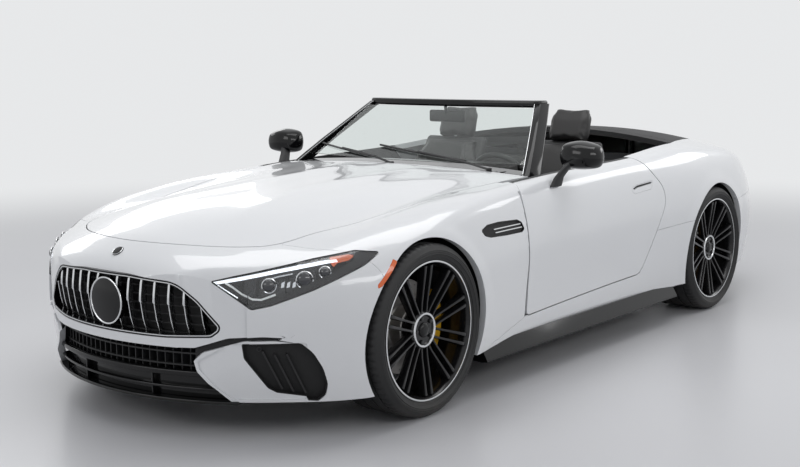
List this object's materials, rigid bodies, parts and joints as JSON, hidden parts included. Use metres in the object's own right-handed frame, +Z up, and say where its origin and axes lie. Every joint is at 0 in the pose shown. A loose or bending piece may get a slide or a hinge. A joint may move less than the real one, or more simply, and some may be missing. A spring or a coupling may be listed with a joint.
{
  "type": "roadster convertible car",
  "caption": "Two-door open roadster with long bonnet, folded roof under a rigid cover, slatted grille, opening doors, bonnet and boot, and steered wheels.",
  "frame": {"origin": "on the ground, on the centre plane, at the middle of the overall length", "axes": "+X forward, +Y to the car's left, +Z up"},
  "size_m": [4.705, 2.1, 1.218],
  "materials": {
    "body_paint": "gloss white lacquer",
    "gloss_black": "piano black",
    "satin_black": "satin black moulding",
    "roof_black": "grained black cover",
    "lamp_housing": "dark chrome lamp insert",
    "lamp_glass": "clear lamp cover",
    "window_glass": "tinted screen glass",
    "bright_metal": "polished",
    "tail_lamp_red": "red lamp cover",
    "structure_metal": "dark body coat",
    "cast_metal": "cast",
    "caliper_paint": "yellow enamel",
    "wheel_black": "gloss black with polished lip",
    "disc_steel": "turned",
    "tyre_rubber": "black rubber",
    "trim_black": "soft-touch trim",
    "seat_leather": "stitched black leather"
  },
  "bodies": {
    "car_body": {"cowl_panel": "gloss_black", "fender_left": "body_paint", "fender_right": "body_paint", "quarter_left": "body_paint", "quarter_right": "body_paint", "rear_bumper": "body_paint", "front_bumper": "body_paint", "sills": "body_paint", "roof_cover": "roof_black", "headlamps": "lamp_housing", "headlamp_lenses": "lamp_glass", "radiator_grille": "bright_metal", "lower_intake": "satin_black", "front_splitter": "gloss_black", "side_intakes": "satin_black", "fender_vents": "satin_black", "windscreen_frame": "gloss_black", "windscreen": "window_glass", "tail_lamps": "tail_lamp_red", "rear_diffuser": "satin_black", "exhaust_tips": "bright_metal", "side_skirts": "gloss_black", "body_tub": "structure_metal", "arch_liners": "satin_black", "engine": "cast_metal", "subframes": "structure_metal", "rear_knuckles": "cast_metal", "rear_calipers": "caliper_paint", "dashboard": "trim_black", "centre_console": "trim_black", "front_seats": "seat_leather", "rear_seats": "seat_leather"},
    "bonnet": {"bonnet": "body_paint"},
    "boot_lid": {"boot_lid": "body_paint"},
    "left_door": {"door_left": "body_paint", "mirror_left": "gloss_black"},
    "right_door": {"door_right": "body_paint", "mirror_right": "gloss_black"},
    "steering_wheel": {"steering_wheel": "seat_leather"},
    "left_steering_knuckle": {"front_left_knuckle": "cast_metal", "front_left_caliper": "caliper_paint"},
    "right_steering_knuckle": {"front_right_knuckle": "cast_metal", "front_right_caliper": "caliper_paint"},
    "front_left_wheel": {"front_left_rim": "wheel_black", "front_left_tyre": "tyre_rubber", "front_left_disc": "disc_steel"},
    "front_right_wheel": {"front_right_rim": "wheel_black", "front_right_tyre": "tyre_rubber", "front_right_disc": "disc_steel"},
    "rear_left_wheel": {"rear_left_rim": "wheel_black", "rear_left_tyre": "tyre_rubber", "rear_left_disc": "disc_steel"},
    "rear_right_wheel": {"rear_right_rim": "wheel_black", "rear_right_tyre": "tyre_rubber", "rear_right_disc": "disc_steel"}
  },
  "joints": [
    {"name": "bonnet_hinge", "type": "hinge", "parent": "car_body", "child": "bonnet", "pos_m": [0.478, 0, 0.888], "axis": [0, -1, 0], "range_deg": [0, 50]},
    {"name": "boot_lid_hinge", "type": "hinge", "parent": "car_body", "child": "boot_lid", "pos_m": [-1.48, 0, 0.948], "axis": [0, 1, 0], "range_deg": [0, 60]},
    {"name": "left_door_hinge", "type": "hinge", "parent": "car_body", "child": "left_door", "pos_m": [0.677, 0.87, 0.56], "axis": [0, 0, -1], "range_deg": [0, 65]},
    {"name": "right_door_hinge", "type": "hinge", "parent": "car_body", "child": "right_door", "pos_m": [0.677, -0.87, 0.56], "axis": [0, 0, 1], "range_deg": [0, 65]},
    {"name": "left_steer", "type": "hinge", "parent": "car_body", "child": "left_steering_knuckle", "pos_m": [1.4835, 0.74, 0.352], "axis": [0, 0, 1], "range_deg": [-33, 33]},
    {"name": "right_steer", "type": "hinge", "parent": "car_body", "child": "right_steering_knuckle", "pos_m": [1.4835, -0.74, 0.352], "axis": [0, 0, 1], "range_deg": [-33, 33]},
    {"name": "steering_wheel_turn", "type": "hinge", "parent": "car_body", "child": "steering_wheel", "pos_m": [0.13, 0.375, 0.78], "axis": [-0.9272, 0, 0.3746], "range_deg": [-400, 400]},
    {"name": "front_left_wheel_spin", "type": "hinge", "parent": "left_steering_knuckle", "child": "front_left_wheel", "pos_m": [1.4835, 0.8105, 0.352], "axis": [0, 1, 0], "continuous": true},
    {"name": "front_right_wheel_spin", "type": "hinge", "parent": "right_steering_knuckle", "child": "front_right_wheel", "pos_m": [1.4835, -0.8105, 0.352], "axis": [0, 1, 0], "continuous": true},
    {"name": "rear_left_wheel_spin", "type": "hinge", "parent": "car_body", "child": "rear_left_wheel", "pos_m": [-1.2165, 0.7975, 0.35], "axis": [0, 1, 0], "continuous": true},
    {"name": "rear_right_wheel_spin", "type": "hinge", "parent": "car_body", "child": "rear_right_wheel", "pos_m": [-1.2165, -0.7975, 0.35], "axis": [0, 1, 0], "continuous": true}
  ],
  "couplings": [
    {"joint": "right_steer", "follows": "left_steer", "ratio": 1},
    {"joint": "steering_wheel_turn", "follows": "left_steer", "ratio": 12}
  ]
}
